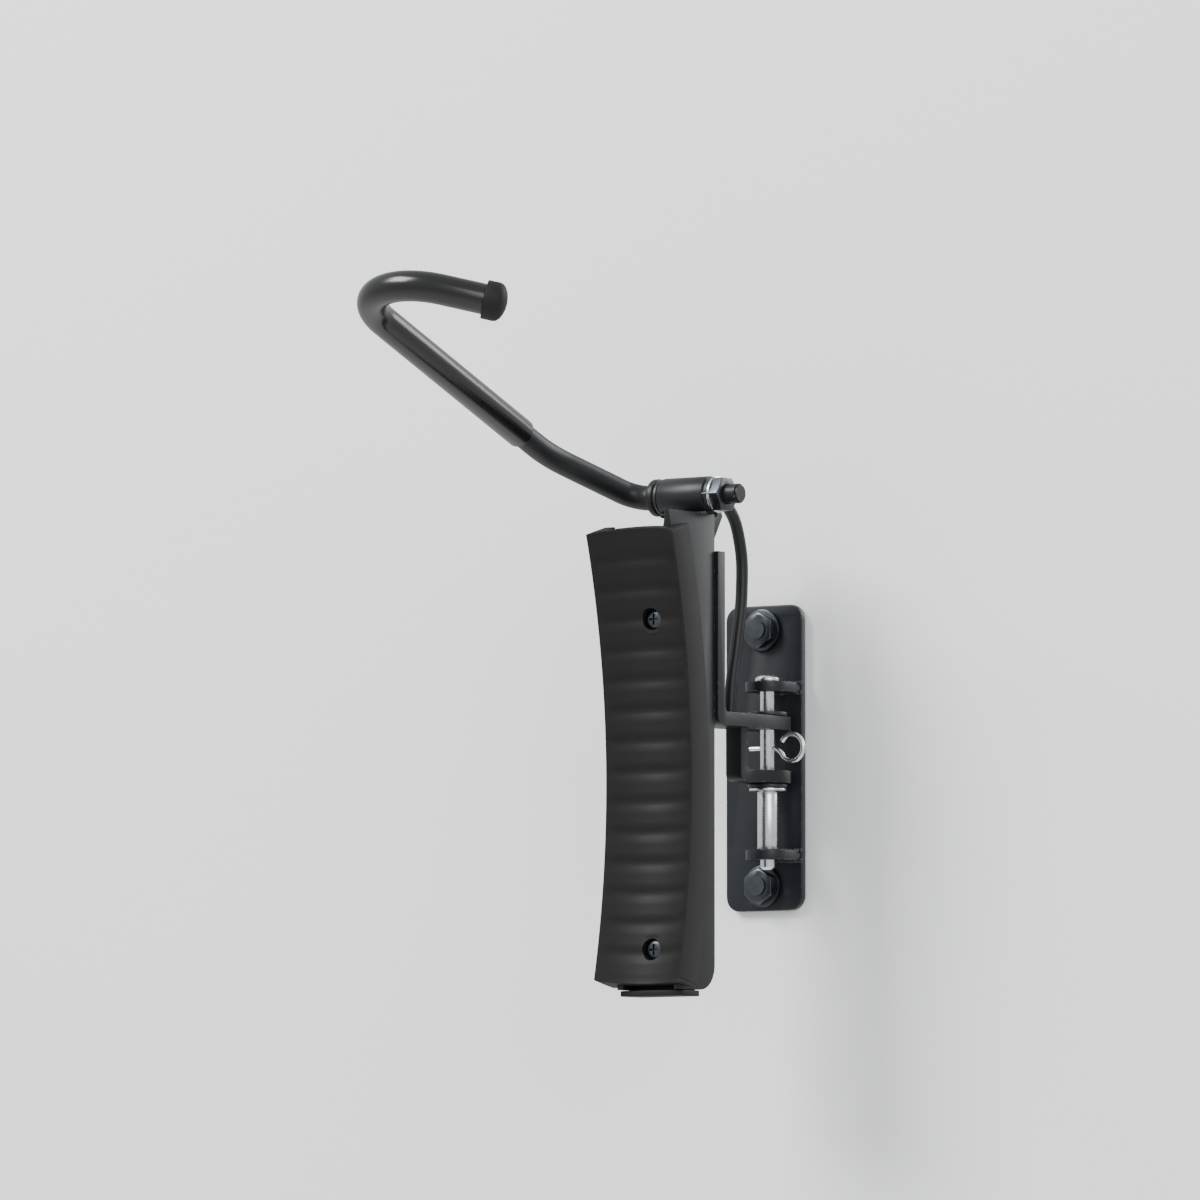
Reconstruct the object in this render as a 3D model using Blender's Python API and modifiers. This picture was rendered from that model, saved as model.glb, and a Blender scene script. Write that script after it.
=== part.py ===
"""Swivelling bicycle wall rack, built as an assembly of separate pieces.

Frame: metres, +Z up. The origin is the centre of the wall plate's back face, the wall is the
plane Y = 0 and the room is on the -Y side. The tyre stands in the plane X = 0.

Three bodies move: the wall bracket is screwed to the wall, the swing frame turns about the
upright hinge pin, and the hook arm folds about the level axle at the top of the swing frame.
"""

import math

import bmesh
import bpy
from mathutils import Matrix, Vector

MM = 0.001
GAP = 0.3 * MM  # air left between two pieces that touch or are welded together

# Wall plate and its two screws
PLATE_WIDTH = 37 * MM
PLATE_HEIGHT = 124 * MM
PLATE_THICKNESS = 3 * MM
PLATE_CORNER = 6 * MM
SCREW_PITCH = 104 * MM
SCREW_HOLE_RADIUS = 4.5 * MM
SCREW_SHANK_RADIUS = 3.9 * MM
SCREW_HEAD_FLATS = 13 * MM
SCREW_HEAD_HEIGHT = 5.5 * MM
WASHER_RADIUS = 8.5 * MM
WASHER_THICKNESS = 1.6 * MM

# Upright hinge
PIN_X = 9 * MM
PIN_Y = -13.5 * MM
PIN_RADIUS = 3 * MM
PIN_BOTTOM = -46 * MM
PIN_HEAD_RADIUS = 5 * MM
PIN_HEAD_HEIGHT = 2.5 * MM
LUG_THICKNESS = 4 * MM
LUG_RADIUS = 9 * MM
LUG_ROOT_HALF_WIDTH = 9 * MM
UPPER_LUG_BOTTOM = 26 * MM
LOWER_LUG_BOTTOM = -42 * MM
KNUCKLE_RADIUS = 9.5 * MM
UPPER_KNUCKLE = (10.5 * MM, 16 * MM)
LOWER_KNUCKLE = (-11 * MM, -6 * MM)
BUSH_WALL = 1.2 * MM
BUSH_FLANGE_RADIUS = 8 * MM
BUSH_FLANGE_THICKNESS = 1.5 * MM
THRUST_WASHER_RADIUS = 7.5 * MM
THRUST_WASHER_THICKNESS = 1 * MM
SPACER_RADIUS = 4.2 * MM

# Split pin through the hinge pin, its eye upright
CLIP_WIRE_RADIUS = 1 * MM
CLIP_HEIGHT = 3.2 * MM
CLIP_EYE_X = 11.8 * MM  # from the hinge pin's axis to the eye's centre
CLIP_EYE_RADIUS = 5.4 * MM
CLIP_TAIL = 8.5 * MM

# Wheel that the rack holds: a 29 inch tyre, 57 mm wide
WHEEL_Y = -445 * MM
WHEEL_Z = -14 * MM
TREAD_RADIUS = 368 * MM
TYRE_SECTION_RADIUS = 32 * MM

# Spine channel, the folded bracket behind it and the moulded cradle in front of it
SPINE_HALF_WIDTH = 15 * MM
SPINE_BACK = -60 * MM
SPINE_WALL = 2.5 * MM
SPINE_BOTTOM = -96 * MM
SPINE_TOP = 94.8 * MM
FLANGE_EDGE_RADIUS = TREAD_RADIUS + 1 * MM
BRACKET_WALL = 5 * MM
BRACKET_HALF_WIDTH = 16.5 * MM
POST = (-37.5 * MM, -33 * MM)  # the narrow post down to the lower knuckle
BRACKET_TOP = 80 * MM
BOLT_HEIGHTS = (34 * MM, 68 * MM)
BOLT_RADIUS = 2.9 * MM
CRADLE_HALF_WIDTH = 21 * MM
CRADLE_WALL = 4 * MM
CRADLE_BOTTOM = -94 * MM
CRADLE_TOP = 88 * MM
CRADLE_SCREW_OFFSET = 66 * MM  # above and below the wheel's centre
CRADLE_BOSS_RADIUS = 6 * MM

# Level axle at the top of the swing frame
AXLE_Y = -61 * MM
AXLE_Z = 102.5 * MM
AXLE_RADIUS = 5 * MM
BARREL_RADIUS = 7.6 * MM
BARREL_BORE = 6.4 * MM
BARREL_LEFT = -8 * MM
BARREL_RIGHT = 14.5 * MM
BARREL_BUSH_LENGTH = 8 * MM
NUT_FLATS = 13 * MM
NUT_HEIGHT = 8 * MM
STUD_RADIUS = 4 * MM
STUD_END = 28.5 * MM

BRACE_X = 4 * MM

# Hook arm, in the plane of the axle and the raised arm
ARM_RAISE = math.radians(22)
LEG_X = -38.5 * MM
CROOK_CORNER = 214.8 * MM  # where the leg's line meets the tip's, out from the axle
CROOK_RADIUS = 27 * MM
TIP_SLOPE = math.radians(36.2)  # the tip's line, back towards the wall from the axle's direction
SLEEVE_START = 62 * MM
SLEEVE_RADIUS = 6.3 * MM
TIP_RADIUS = 7.7 * MM
# along the tip's line, from that corner
ROD_END = 74.5 * MM
TIP_START = 70 * MM
TIP_END = 79 * MM

ROUND_STEPS = 24


# Scene, collections and finishes

def clear_scene():
    for obj in list(bpy.data.objects):
        bpy.data.objects.remove(obj, do_unlink=True)


def new_collection(name):
    collection = bpy.data.collections.new(name)
    bpy.context.scene.collection.children.link(collection)
    return collection


def new_finish(name, colour, roughness, metallic):
    finish = bpy.data.materials.new(name)
    finish.use_nodes = True
    shader = finish.node_tree.nodes["Principled BSDF"]
    shader.inputs["Base Color"].default_value = (*colour, 1.0)
    shader.inputs["Roughness"].default_value = roughness
    shader.inputs["Metallic"].default_value = metallic
    finish.diffuse_color = (*colour, 1.0)
    return finish


def new_pivot(name, location, parent=None):
    pivot = bpy.data.objects.new(name, None)
    pivot.empty_display_size = 10 * MM
    pivot.location = location
    PARTS.objects.link(pivot)
    if parent:
        pivot.parent = parent
        pivot.matrix_parent_inverse = Matrix.Translation(-parent.location)
    return pivot


clear_scene()
PARTS = new_collection("bicycle_wall_rack")
CUTTERS = new_collection("cutters")
PLATE_COAT = new_finish("plate_coat", (0.018, 0.022, 0.027), 0.45, 0.0)
FRAME_COAT = new_finish("frame_coat", (0.030, 0.031, 0.033), 0.42, 0.0)
SLEEVE_BLACK = new_finish("sleeve_black", (0.008, 0.008, 0.009), 0.22, 0.0)
CRADLE_BLACK = new_finish("cradle_black", (0.012, 0.012, 0.013), 0.55, 0.0)
BUSH_NYLON = new_finish("bush_nylon", (0.05, 0.05, 0.05), 0.5, 0.0)
BRIGHT_ZINC = new_finish("bright_zinc", (0.62, 0.64, 0.66), 0.28, 1.0)
BLACK_ZINC = new_finish("black_zinc", (0.05, 0.052, 0.056), 0.35, 1.0)

SWING_PIVOT = new_pivot("swing_axis", Vector((PIN_X, PIN_Y, 0)))
ARM_PIVOT = new_pivot("arm_axis", Vector((0, AXLE_Y, AXLE_Z)), SWING_PIVOT)

# Turns from a shape's own axes to the object's
ALONG_Z = (0, 0, 0)
ALONG_X = (0, math.pi / 2, 0)
OUT_OF_WALL = (math.pi / 2, 0, 0)  # own +Z points into the room, own +Y points up
SIDE_OUTLINE = (math.pi / 2, 0, math.pi / 2)  # own X is the object's Y, own Y is its Z
ARM_PLANE = (math.pi - ARM_RAISE, 0, 0)  # own Y runs out along the raised arm


# Shape makers

def add_part(name, mesh, finish, pivot=None, location=(0, 0, 0), turn=ALONG_Z):
    part = bpy.data.objects.new(name, mesh)
    part.location = location
    part.rotation_euler = turn
    PARTS.objects.link(part)
    if pivot:
        part.parent = pivot
        part.matrix_parent_inverse = Matrix.Translation(-pivot.location)
    mesh.materials.clear()
    mesh.materials.append(finish)
    return part


def add_cutter(name, mesh, location=(0, 0, 0), turn=ALONG_Z):
    cutter = bpy.data.objects.new(name, mesh)
    cutter.location = location
    cutter.rotation_euler = turn
    cutter.hide_render = True
    cutter.display_type = "WIRE"
    CUTTERS.objects.link(cutter)
    return cutter


def combine(part, other, operation="DIFFERENCE"):
    modifier = part.modifiers.new(other.name, "BOOLEAN")
    modifier.operation = operation
    modifier.solver = "EXACT"
    modifier.object = other


def weld_mesh(mesh):
    work = bmesh.new()
    work.from_mesh(mesh)
    bmesh.ops.remove_doubles(work, verts=work.verts, dist=0.001 * MM)
    bmesh.ops.recalc_face_normals(work, faces=work.faces)
    work.to_mesh(mesh)
    work.free()
    return mesh


def mesh_of(obj):
    """The evaluated, welded mesh of a curve or of an object with modifiers; removes the object."""
    bpy.context.scene.collection.objects.link(obj)
    graph = bpy.context.evaluated_depsgraph_get()
    mesh = weld_mesh(bpy.data.meshes.new_from_object(obj.evaluated_get(graph)))
    mesh.name = obj.name
    bpy.data.objects.remove(obj, do_unlink=True)
    return mesh


def shaped(mesh, other, operation):
    """One mesh cut by another, or joined to it, for a fastener that is used more than once."""
    part = bpy.data.objects.new(mesh.name, mesh)
    tool = add_cutter(other.name, other)
    combine(part, tool, operation)
    return mesh_of(part)


def turned(name, profile, steps=ROUND_STEPS):
    """A profile of (radius, height) points, down the outer side first, turned about Z."""
    mesh = bpy.data.meshes.new(name)
    closed = profile[0][0] > 0
    last = len(profile)
    edges = [(i, (i + 1) % last) for i in range(last if closed else last - 1)]
    mesh.from_pydata([(radius, 0, height) for radius, height in profile], edges, [])
    blank = bpy.data.objects.new(name, mesh)
    screw = blank.modifiers.new("turn", "SCREW")
    screw.steps = steps
    screw.render_steps = steps
    screw.use_merge_vertices = True
    screw.merge_threshold = 0.01 * MM
    return mesh_of(blank)


def rod_profile(radius, bottom, top, chamfer=0.0):
    return [(0, top), (radius - chamfer, top), (radius, top - chamfer),
            (radius, bottom + chamfer), (radius - chamfer, bottom), (0, bottom)] if chamfer else [
            (0, top), (radius, top), (radius, bottom), (0, bottom)]


def ring_profile(outer, inner, bottom, top):
    return [(outer, top), (outer, bottom), (inner, bottom), (inner, top)]


def bush_profile(inner, outer, flange, length):
    """A bush whose flange stands on Z = 0 and whose body hangs below it."""
    return [(flange, BUSH_FLANGE_THICKNESS), (flange, 0), (outer, 0), (outer, -length),
            (inner, -length), (inner, BUSH_FLANGE_THICKNESS)]


def rounded(corners, closed=True, steps_per_quarter=6):
    """A path through (x, y, radius) corners, with an arc of that radius at each corner."""
    points = []
    count = len(corners)
    for i, (x, y, radius) in enumerate(corners):
        corner = Vector((x, y))
        at_end = not closed and i in (0, count - 1)
        if radius == 0 or at_end:
            points.append(corner)
            continue
        before = (Vector(corners[i - 1][:2]) - corner).normalized()
        after = (Vector(corners[(i + 1) % count][:2]) - corner).normalized()
        half = before.angle(after) / 2
        centre = corner + (before + after).normalized() * radius / math.sin(half)
        start = corner + before * radius / math.tan(half) - centre
        turn = math.pi - 2 * half
        sense = 1 if start.to_3d().cross((corner - centre).to_3d()).z > 0 else -1
        steps = max(2, math.ceil(steps_per_quarter * turn / (math.pi / 2)))
        for step in range(steps + 1):
            angle = sense * turn * step / steps
            points.append(centre + Matrix.Rotation(angle, 2) @ start)
    return points


def slab(name, outline, thickness):
    """A flat outline given a thickness, half on each side of its own plane."""
    curve = bpy.data.curves.new(name, "CURVE")
    curve.dimensions = "2D"
    curve.fill_mode = "BOTH"
    curve.extrude = thickness / 2
    spline = curve.splines.new("POLY")
    spline.points.add(len(outline) - 1)
    for point, place in zip(spline.points, outline):
        point.co = (place[0], place[1], 0, 1)
    spline.use_cyclic_u = True
    return mesh_of(bpy.data.objects.new(name, curve))


def swept_rod(name, path, radius, sides_level=3, narrow_points=0, narrow_factor=1.0):
    """A round rod along a path; its first points may be narrower, as a stud is."""
    curve = bpy.data.curves.new(name, "CURVE")
    curve.dimensions = "3D"
    curve.bevel_depth = radius
    curve.bevel_resolution = sides_level
    curve.use_fill_caps = True
    spline = curve.splines.new("POLY")
    spline.points.add(len(path) - 1)
    for i, (point, place) in enumerate(zip(spline.points, path)):
        point.co = (*Vector(place).to_3d(), 1)
        point.radius = narrow_factor if i < narrow_points else 1.0
    return mesh_of(bpy.data.objects.new(name, curve))


def block(name, size):
    mesh = bpy.data.meshes.new(name)
    work = bmesh.new()
    bmesh.ops.create_cube(work, size=1.0, matrix=Matrix.Diagonal((*size, 1.0)))
    work.to_mesh(mesh)
    work.free()
    return mesh


def hex_profile(flats, bottom, top, chamfer):
    corner = flats / math.sqrt(3)
    return [(0, top), (corner - chamfer, top), (corner, top - chamfer), (corner, bottom),
            (0, bottom)]


# Wall bracket

def make_wall_plate():
    half_width = PLATE_WIDTH / 2
    half_height = PLATE_HEIGHT / 2
    outline = rounded([(-half_width, -half_height, PLATE_CORNER),
                       (half_width, -half_height, PLATE_CORNER),
                       (half_width, half_height, PLATE_CORNER),
                       (-half_width, half_height, PLATE_CORNER)])
    plate = add_part("wall_plate", slab("wall_plate", outline, PLATE_THICKNESS), PLATE_COAT,
                     location=(0, -PLATE_THICKNESS / 2, 0), turn=OUT_OF_WALL)
    for i, side in enumerate((-1, 1)):
        drill = turned(f"screw_hole_{i}", rod_profile(SCREW_HOLE_RADIUS, -5 * MM, 5 * MM))
        place = (0, -PLATE_THICKNESS / 2, side * SCREW_PITCH / 2)
        combine(plate, add_cutter(drill.name, drill, place, OUT_OF_WALL))


def make_wall_fasteners():
    seat = PLATE_THICKNESS + GAP
    head_seat = seat + WASHER_THICKNESS + GAP
    head_top = head_seat + SCREW_HEAD_HEIGHT
    washer = turned("screw_washer",
                    ring_profile(WASHER_RADIUS, SCREW_HOLE_RADIUS, seat, seat + WASHER_THICKNESS))
    head = turned("wall_screw", hex_profile(SCREW_HEAD_FLATS, head_seat, head_top, 0.8 * MM), 6)
    shank = turned("screw_shank",
                   rod_profile(SCREW_SHANK_RADIUS, GAP, head_seat + SCREW_HEAD_HEIGHT / 2))
    screw = shaped(head, shank, "UNION")
    for name, side in (("upper", 1), ("lower", -1)):
        place = (0, 0, side * SCREW_PITCH / 2)
        add_part(f"screw_washer_{name}", washer, BLACK_ZINC, location=place, turn=OUT_OF_WALL)
        add_part(f"wall_screw_{name}", screw, BLACK_ZINC, location=place, turn=OUT_OF_WALL)


def make_hinge_lugs():
    root = PIN_Y + PLATE_THICKNESS + GAP
    outline = [Vector((LUG_ROOT_HALF_WIDTH, -root)), Vector((-LUG_ROOT_HALF_WIDTH, -root))]
    steps = 12
    for step in range(steps + 1):
        angle = math.pi + math.pi * step / steps
        outline.append(Vector((LUG_RADIUS * math.cos(angle), LUG_RADIUS * math.sin(angle))))
    for name, bottom in (("upper_hinge_lug", UPPER_LUG_BOTTOM),
                         ("lower_hinge_lug", LOWER_LUG_BOTTOM)):
        middle = (PIN_X, PIN_Y, bottom + LUG_THICKNESS / 2)
        lug = add_part(name, slab(name, outline, LUG_THICKNESS), PLATE_COAT, location=middle)
        drill = turned(f"{name}_bore", rod_profile(PIN_RADIUS + GAP, -5 * MM, 5 * MM))
        combine(lug, add_cutter(drill.name, drill, middle))


def make_hinge_pin():
    seat = UPPER_LUG_BOTTOM + LUG_THICKNESS + GAP
    head_top = seat + PIN_HEAD_HEIGHT
    profile = [(0, head_top), (PIN_HEAD_RADIUS - 1 * MM, head_top),
               (PIN_HEAD_RADIUS, head_top - 1 * MM), (PIN_HEAD_RADIUS, seat),
               (PIN_RADIUS, seat), (PIN_RADIUS, PIN_BOTTOM + 1 * MM),
               (PIN_RADIUS - 1 * MM, PIN_BOTTOM), (0, PIN_BOTTOM)]
    axis = (PIN_X, PIN_Y, 0)
    pin = add_part("hinge_pin", turned("hinge_pin", profile), BRIGHT_ZINC, location=axis)
    drill = turned("clip_hole", rod_profile(CLIP_WIRE_RADIUS + GAP, -5 * MM, 5 * MM, 0), 12)
    combine(pin, add_cutter("clip_hole", drill, (PIN_X, PIN_Y, CLIP_HEIGHT), ALONG_X))


def make_pin_spacers():
    axis = (PIN_X, PIN_Y, 0)
    flange_bottom = LOWER_KNUCKLE[0] - GAP - BUSH_FLANGE_THICKNESS
    washer_top = flange_bottom - GAP
    washer_bottom = washer_top - THRUST_WASHER_THICKNESS
    bore = PIN_RADIUS + GAP
    washer = turned("thrust_washer",
                    ring_profile(THRUST_WASHER_RADIUS, bore, washer_bottom, washer_top))
    add_part("thrust_washer", washer, BRIGHT_ZINC, location=axis)
    spacer = turned("pin_spacer",
                    ring_profile(SPACER_RADIUS, bore, LOWER_LUG_BOTTOM + LUG_THICKNESS + GAP,
                                 washer_bottom - GAP))
    add_part("pin_spacer", spacer, BRIGHT_ZINC, location=axis)


def make_pin_clip():
    """A split pin: its tail lies through the hinge pin, and its open eye stands upright beside it."""
    path = [Vector((-CLIP_TAIL, 0)), Vector((0, 0)), Vector((CLIP_EYE_X - 8 * MM, 0))]
    turns = 16
    for step in range(turns + 1):
        angle = math.radians(-155 + 305 * step / turns)
        path.append(Vector((CLIP_EYE_X + CLIP_EYE_RADIUS * math.cos(angle),
                            CLIP_EYE_RADIUS * math.sin(angle))))
    add_part("pin_clip", swept_rod("pin_clip", path, CLIP_WIRE_RADIUS, 2), BRIGHT_ZINC,
             location=(PIN_X, PIN_Y, CLIP_HEIGHT), turn=(math.pi / 2, 0, 0))


# Swing frame

def make_swing_bracket():
    """A folded plate behind the spine whose foot is the upper knuckle, with a narrow post under
    it that carries the lower knuckle."""
    back = SPINE_BACK + GAP
    inner = back + BRACKET_WALL
    reach = PIN_Y + KNUCKLE_RADIUS + 1 * MM
    side = rounded([(back, UPPER_KNUCKLE[0], 4 * MM), (reach, UPPER_KNUCKLE[0], 0),
                    (reach, UPPER_KNUCKLE[1], 0), (inner, UPPER_KNUCKLE[1], 2.5 * MM),
                    (inner, BRACKET_TOP, 0), (back, BRACKET_TOP, 0)], steps_per_quarter=3)
    bracket = add_part("swing_bracket", slab("swing_bracket", side, 2 * BRACKET_HALF_WIDTH),
                       FRAME_COAT, SWING_PIVOT, turn=SIDE_OUTLINE)
    nose = [Vector((PIN_X + KNUCKLE_RADIUS * math.cos(math.radians(angle)),
                    PIN_Y + KNUCKLE_RADIUS * math.sin(math.radians(angle))))
            for angle in range(-30, 211, 15)]
    edge = BRACKET_HALF_WIDTH + 1 * MM
    plan = [Vector((-edge, back - 1 * MM)), Vector((edge, back - 1 * MM)),
            Vector((edge, inner + 0.5 * MM)), Vector((edge - 2 * MM, inner + 1.5 * MM)), *nose,
            Vector((-2 * MM, -38 * MM)), Vector((-edge + 2 * MM, inner + 1.5 * MM)),
            Vector((-edge, inner + 0.5 * MM))]
    tall = 200 * MM
    trim = slab("bracket_plan", plan, tall)
    combine(bracket, add_cutter("bracket_plan", trim), "INTERSECT")
    overlap = (UPPER_KNUCKLE[0] + UPPER_KNUCKLE[1]) / 2
    lower_side = rounded([(POST[0], overlap, 0), (POST[0], LOWER_KNUCKLE[0], 3 * MM),
                          (reach, LOWER_KNUCKLE[0], 0), (reach, LOWER_KNUCKLE[1], 0),
                          (POST[1], LOWER_KNUCKLE[1], 2 * MM), (POST[1], overlap, 0)],
                         steps_per_quarter=3)
    lower = add_cutter("lower_knuckle", slab("lower_knuckle", lower_side, 60 * MM),
                       turn=SIDE_OUTLINE)
    lower_plan = [Vector((5 * MM, POST[0] - 1 * MM)), Vector((12.5 * MM, POST[0] - 1 * MM)),
                  Vector((12.5 * MM, -27 * MM)), *nose, Vector((5 * MM, POST[1] + 2 * MM))]
    trim = slab("lower_plan", lower_plan, tall)
    combine(lower, add_cutter("lower_plan", trim), "INTERSECT")
    combine(bracket, lower, "UNION")
    drill = turned("knuckle_bore", rod_profile(PIN_RADIUS + 2 * GAP + BUSH_WALL, -20 * MM, 20 * MM))
    combine(bracket, add_cutter("knuckle_bore", drill, (PIN_X, PIN_Y, 0)))
    for i, height in enumerate(BOLT_HEIGHTS):
        drill = turned(f"bracket_bolt_hole_{i}", rod_profile(BOLT_RADIUS + GAP, -6 * MM, 6 * MM))
        combine(bracket, add_cutter(drill.name, drill, (0, back, height), OUT_OF_WALL))


def make_hinge_bushes():
    inner = PIN_RADIUS + GAP
    outer = inner + BUSH_WALL
    upper_length = UPPER_KNUCKLE[1] - UPPER_KNUCKLE[0] + GAP
    upper = turned("upper_bush", bush_profile(inner, outer, BUSH_FLANGE_RADIUS, upper_length))
    add_part("upper_bush", upper, BUSH_NYLON, SWING_PIVOT,
             (PIN_X, PIN_Y, UPPER_KNUCKLE[1] + GAP))
    lower_length = LOWER_KNUCKLE[1] - LOWER_KNUCKLE[0] + GAP
    lower = turned("lower_bush", bush_profile(inner, outer, BUSH_FLANGE_RADIUS, lower_length))
    add_part("lower_bush", lower, BUSH_NYLON, SWING_PIVOT,
             (PIN_X, PIN_Y, LOWER_KNUCKLE[0] - GAP), (math.pi, 0, 0))


def tread_y(radius, z):
    """Y of the point at height z on a circle about the wheel's centre, on the wall side."""
    return WHEEL_Y + math.sqrt(radius ** 2 - (z - WHEEL_Z) ** 2)


def make_spine():
    """A channel: a flat back and two sides whose front edges follow the tyre."""
    steps = 14
    side = rounded([(tread_y(FLANGE_EDGE_RADIUS, SPINE_BOTTOM), SPINE_BOTTOM, 0),
                    (SPINE_BACK, SPINE_BOTTOM, 10 * MM), (SPINE_BACK, SPINE_TOP, 0),
                    (tread_y(FLANGE_EDGE_RADIUS, SPINE_TOP), SPINE_TOP, 0)])
    for step in range(1, steps):
        z = SPINE_TOP + (SPINE_BOTTOM - SPINE_TOP) * step / steps
        side.append(Vector((tread_y(FLANGE_EDGE_RADIUS, z), z)))
    spine = add_part("spine", slab("spine", side, 2 * SPINE_HALF_WIDTH), FRAME_COAT,
                     SWING_PIVOT, turn=SIDE_OUTLINE)
    depth = 60 * MM
    inner_width = 2 * (SPINE_HALF_WIDTH - SPINE_WALL)
    hollow = block("spine_hollow", (inner_width, depth, 240 * MM))
    combine(spine, add_cutter("spine_hollow", hollow, (0, SPINE_BACK - SPINE_WALL - depth / 2, 0)))
    # the far shoulder is cut away, so the folded arm passes it
    shoulder = slab("spine_shoulder", [(-30 * MM, 62 * MM), (-SPINE_HALF_WIDTH, 62 * MM),
                                       (BARREL_LEFT, 93 * MM), (BARREL_LEFT, 110 * MM),
                                       (-30 * MM, 110 * MM)], 120 * MM)
    combine(spine, add_cutter("spine_shoulder", shoulder, (0, SPINE_BACK, 0), OUT_OF_WALL))
    for i, height in enumerate(BOLT_HEIGHTS):
        drill = turned(f"spine_bolt_hole_{i}", rod_profile(BOLT_RADIUS + GAP, -6 * MM, 6 * MM))
        combine(spine, add_cutter(drill.name, drill, (0, SPINE_BACK, height), OUT_OF_WALL))
    for i, sign in enumerate((-1, 1)):
        drill = turned(f"spine_screw_hole_{i}", rod_profile(2.3 * MM, -6 * MM, 6 * MM), 16)
        height = WHEEL_Z + sign * CRADLE_SCREW_OFFSET
        combine(spine, add_cutter(drill.name, drill, (0, SPINE_BACK, height), OUT_OF_WALL))


def make_bracket_fasteners():
    head_seat = SPINE_BACK + GAP + BRACKET_WALL + GAP
    nut_seat = SPINE_BACK - SPINE_WALL - GAP
    nut_height = 5 * MM
    tip = nut_seat - nut_height - 2 * MM - head_seat
    head_height = 3.3 * MM
    dome = [(0, head_height), (2.2 * MM, head_height), (4.2 * MM, head_height * 0.75),
            (5.2 * MM, head_height * 0.3), (5.2 * MM, 0), (BOLT_RADIUS, 0),
            (BOLT_RADIUS, tip + 0.8 * MM), (BOLT_RADIUS - 0.8 * MM, tip), (0, tip)]
    bolt = turned("bracket_bolt", dome, 20)
    nut = turned("bracket_nut", hex_profile(10 * MM, 0, nut_height, 0.5 * MM), 6)
    bore = turned("bracket_nut_bore", rod_profile(BOLT_RADIUS + GAP, -8 * MM, 8 * MM), 20)
    nut = shaped(nut, bore, "DIFFERENCE")
    for name, height in zip(("lower", "upper"), BOLT_HEIGHTS):
        add_part(f"bracket_bolt_{name}", bolt, BLACK_ZINC, SWING_PIVOT,
                 (0, head_seat, height), (-math.pi / 2, 0, 0))
        add_part(f"bracket_nut_{name}", nut, BLACK_ZINC, SWING_PIVOT,
                 (0, nut_seat, height), OUT_OF_WALL)


def make_cradle():
    """A moulded trough: its section hugs the tyre, grips both sides of the spine, and is swept
    about the wheel's centre. Two bosses stand on the spine's back and take the screws."""
    name = "tyre_cradle"
    grip_inner = SPINE_HALF_WIDTH - SPINE_WALL - GAP
    grip_outer = SPINE_HALF_WIDTH + GAP
    seat = FLANGE_EDGE_RADIUS - GAP
    lip = CRADLE_HALF_WIDTH - 0.5 * MM

    def hug(x):
        return TREAD_RADIUS - TYRE_SECTION_RADIUS + math.sqrt(TYRE_SECTION_RADIUS ** 2 - x ** 2)

    spans = 10
    section = []
    for step in range(spans + 1):
        x = CRADLE_HALF_WIDTH * (2 * step / spans - 1)
        section.append((x, hug(x)))
    section += [(CRADLE_HALF_WIDTH, seat - 2 * MM), (lip, seat + 5 * MM),
                (grip_outer, seat + 5 * MM), (grip_outer, seat), (grip_inner, seat),
                (grip_inner, hug(grip_inner) + CRADLE_WALL), (7 * MM, hug(7 * MM) + CRADLE_WALL),
                (0, hug(0) + CRADLE_WALL)]
    section += [(-x, radius) for x, radius in reversed(section[spans + 1:-1])]
    start = math.asin((CRADLE_BOTTOM - WHEEL_Z) / TREAD_RADIUS)
    finish = math.asin((CRADLE_TOP - WHEEL_Z) / TREAD_RADIUS)
    work = bmesh.new()
    loop = [work.verts.new((x, radius * math.cos(start), radius * math.sin(start)))
            for x, radius in section]
    face = work.faces.new(loop)
    bmesh.ops.spin(work, geom=[face, *face.edges, *face.verts], cent=(0, 0, 0), axis=(1, 0, 0),
                   angle=finish - start, steps=16, use_duplicate=False)
    bmesh.ops.recalc_face_normals(work, faces=work.faces)
    mesh = bpy.data.meshes.new(name)
    work.to_mesh(mesh)
    work.free()
    cradle = add_part(name, mesh, CRADLE_BLACK, SWING_PIVOT, (0, WHEEL_Y, WHEEL_Z))
    boss_back = SPINE_BACK - SPINE_WALL - GAP
    depth = boss_back - tread_y(TREAD_RADIUS, WHEEL_Z + CRADLE_SCREW_OFFSET)
    recess = depth - 4.6 * MM
    boss = turned("cradle_boss", rod_profile(CRADLE_BOSS_RADIUS, 0, depth - 2 * MM), 20)
    hole = turned("cradle_hole", [(0, depth + 5 * MM), (4.4 * MM, depth + 5 * MM),
                                  (4.4 * MM, recess), (2.3 * MM, recess), (2.3 * MM, -2 * MM),
                                  (0, -2 * MM)], 20)
    places = {name: (0, boss_back, WHEEL_Z + side * CRADLE_SCREW_OFFSET)
              for name, side in (("upper", 1), ("lower", -1))}
    for shape, operation in ((boss, "UNION"), (hole, "DIFFERENCE")):
        for name, place in places.items():
            cutter = add_cutter(f"{shape.name}_{name}", shape, place, OUT_OF_WALL)
            combine(cradle, cutter, operation)
    seat = recess + GAP
    screw = turned("cradle_screw",
                   [(0, seat + 2.6 * MM), (3 * MM, seat + 2.6 * MM), (4 * MM, seat + 1.6 * MM),
                    (4 * MM, seat), (2 * MM, seat), (2 * MM, -SPINE_WALL), (0, -SPINE_WALL)], 20)
    for name, place in places.items():
        add_part(f"cradle_screw_{name}", screw, BLACK_ZINC, SWING_PIVOT, place, OUT_OF_WALL)


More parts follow.
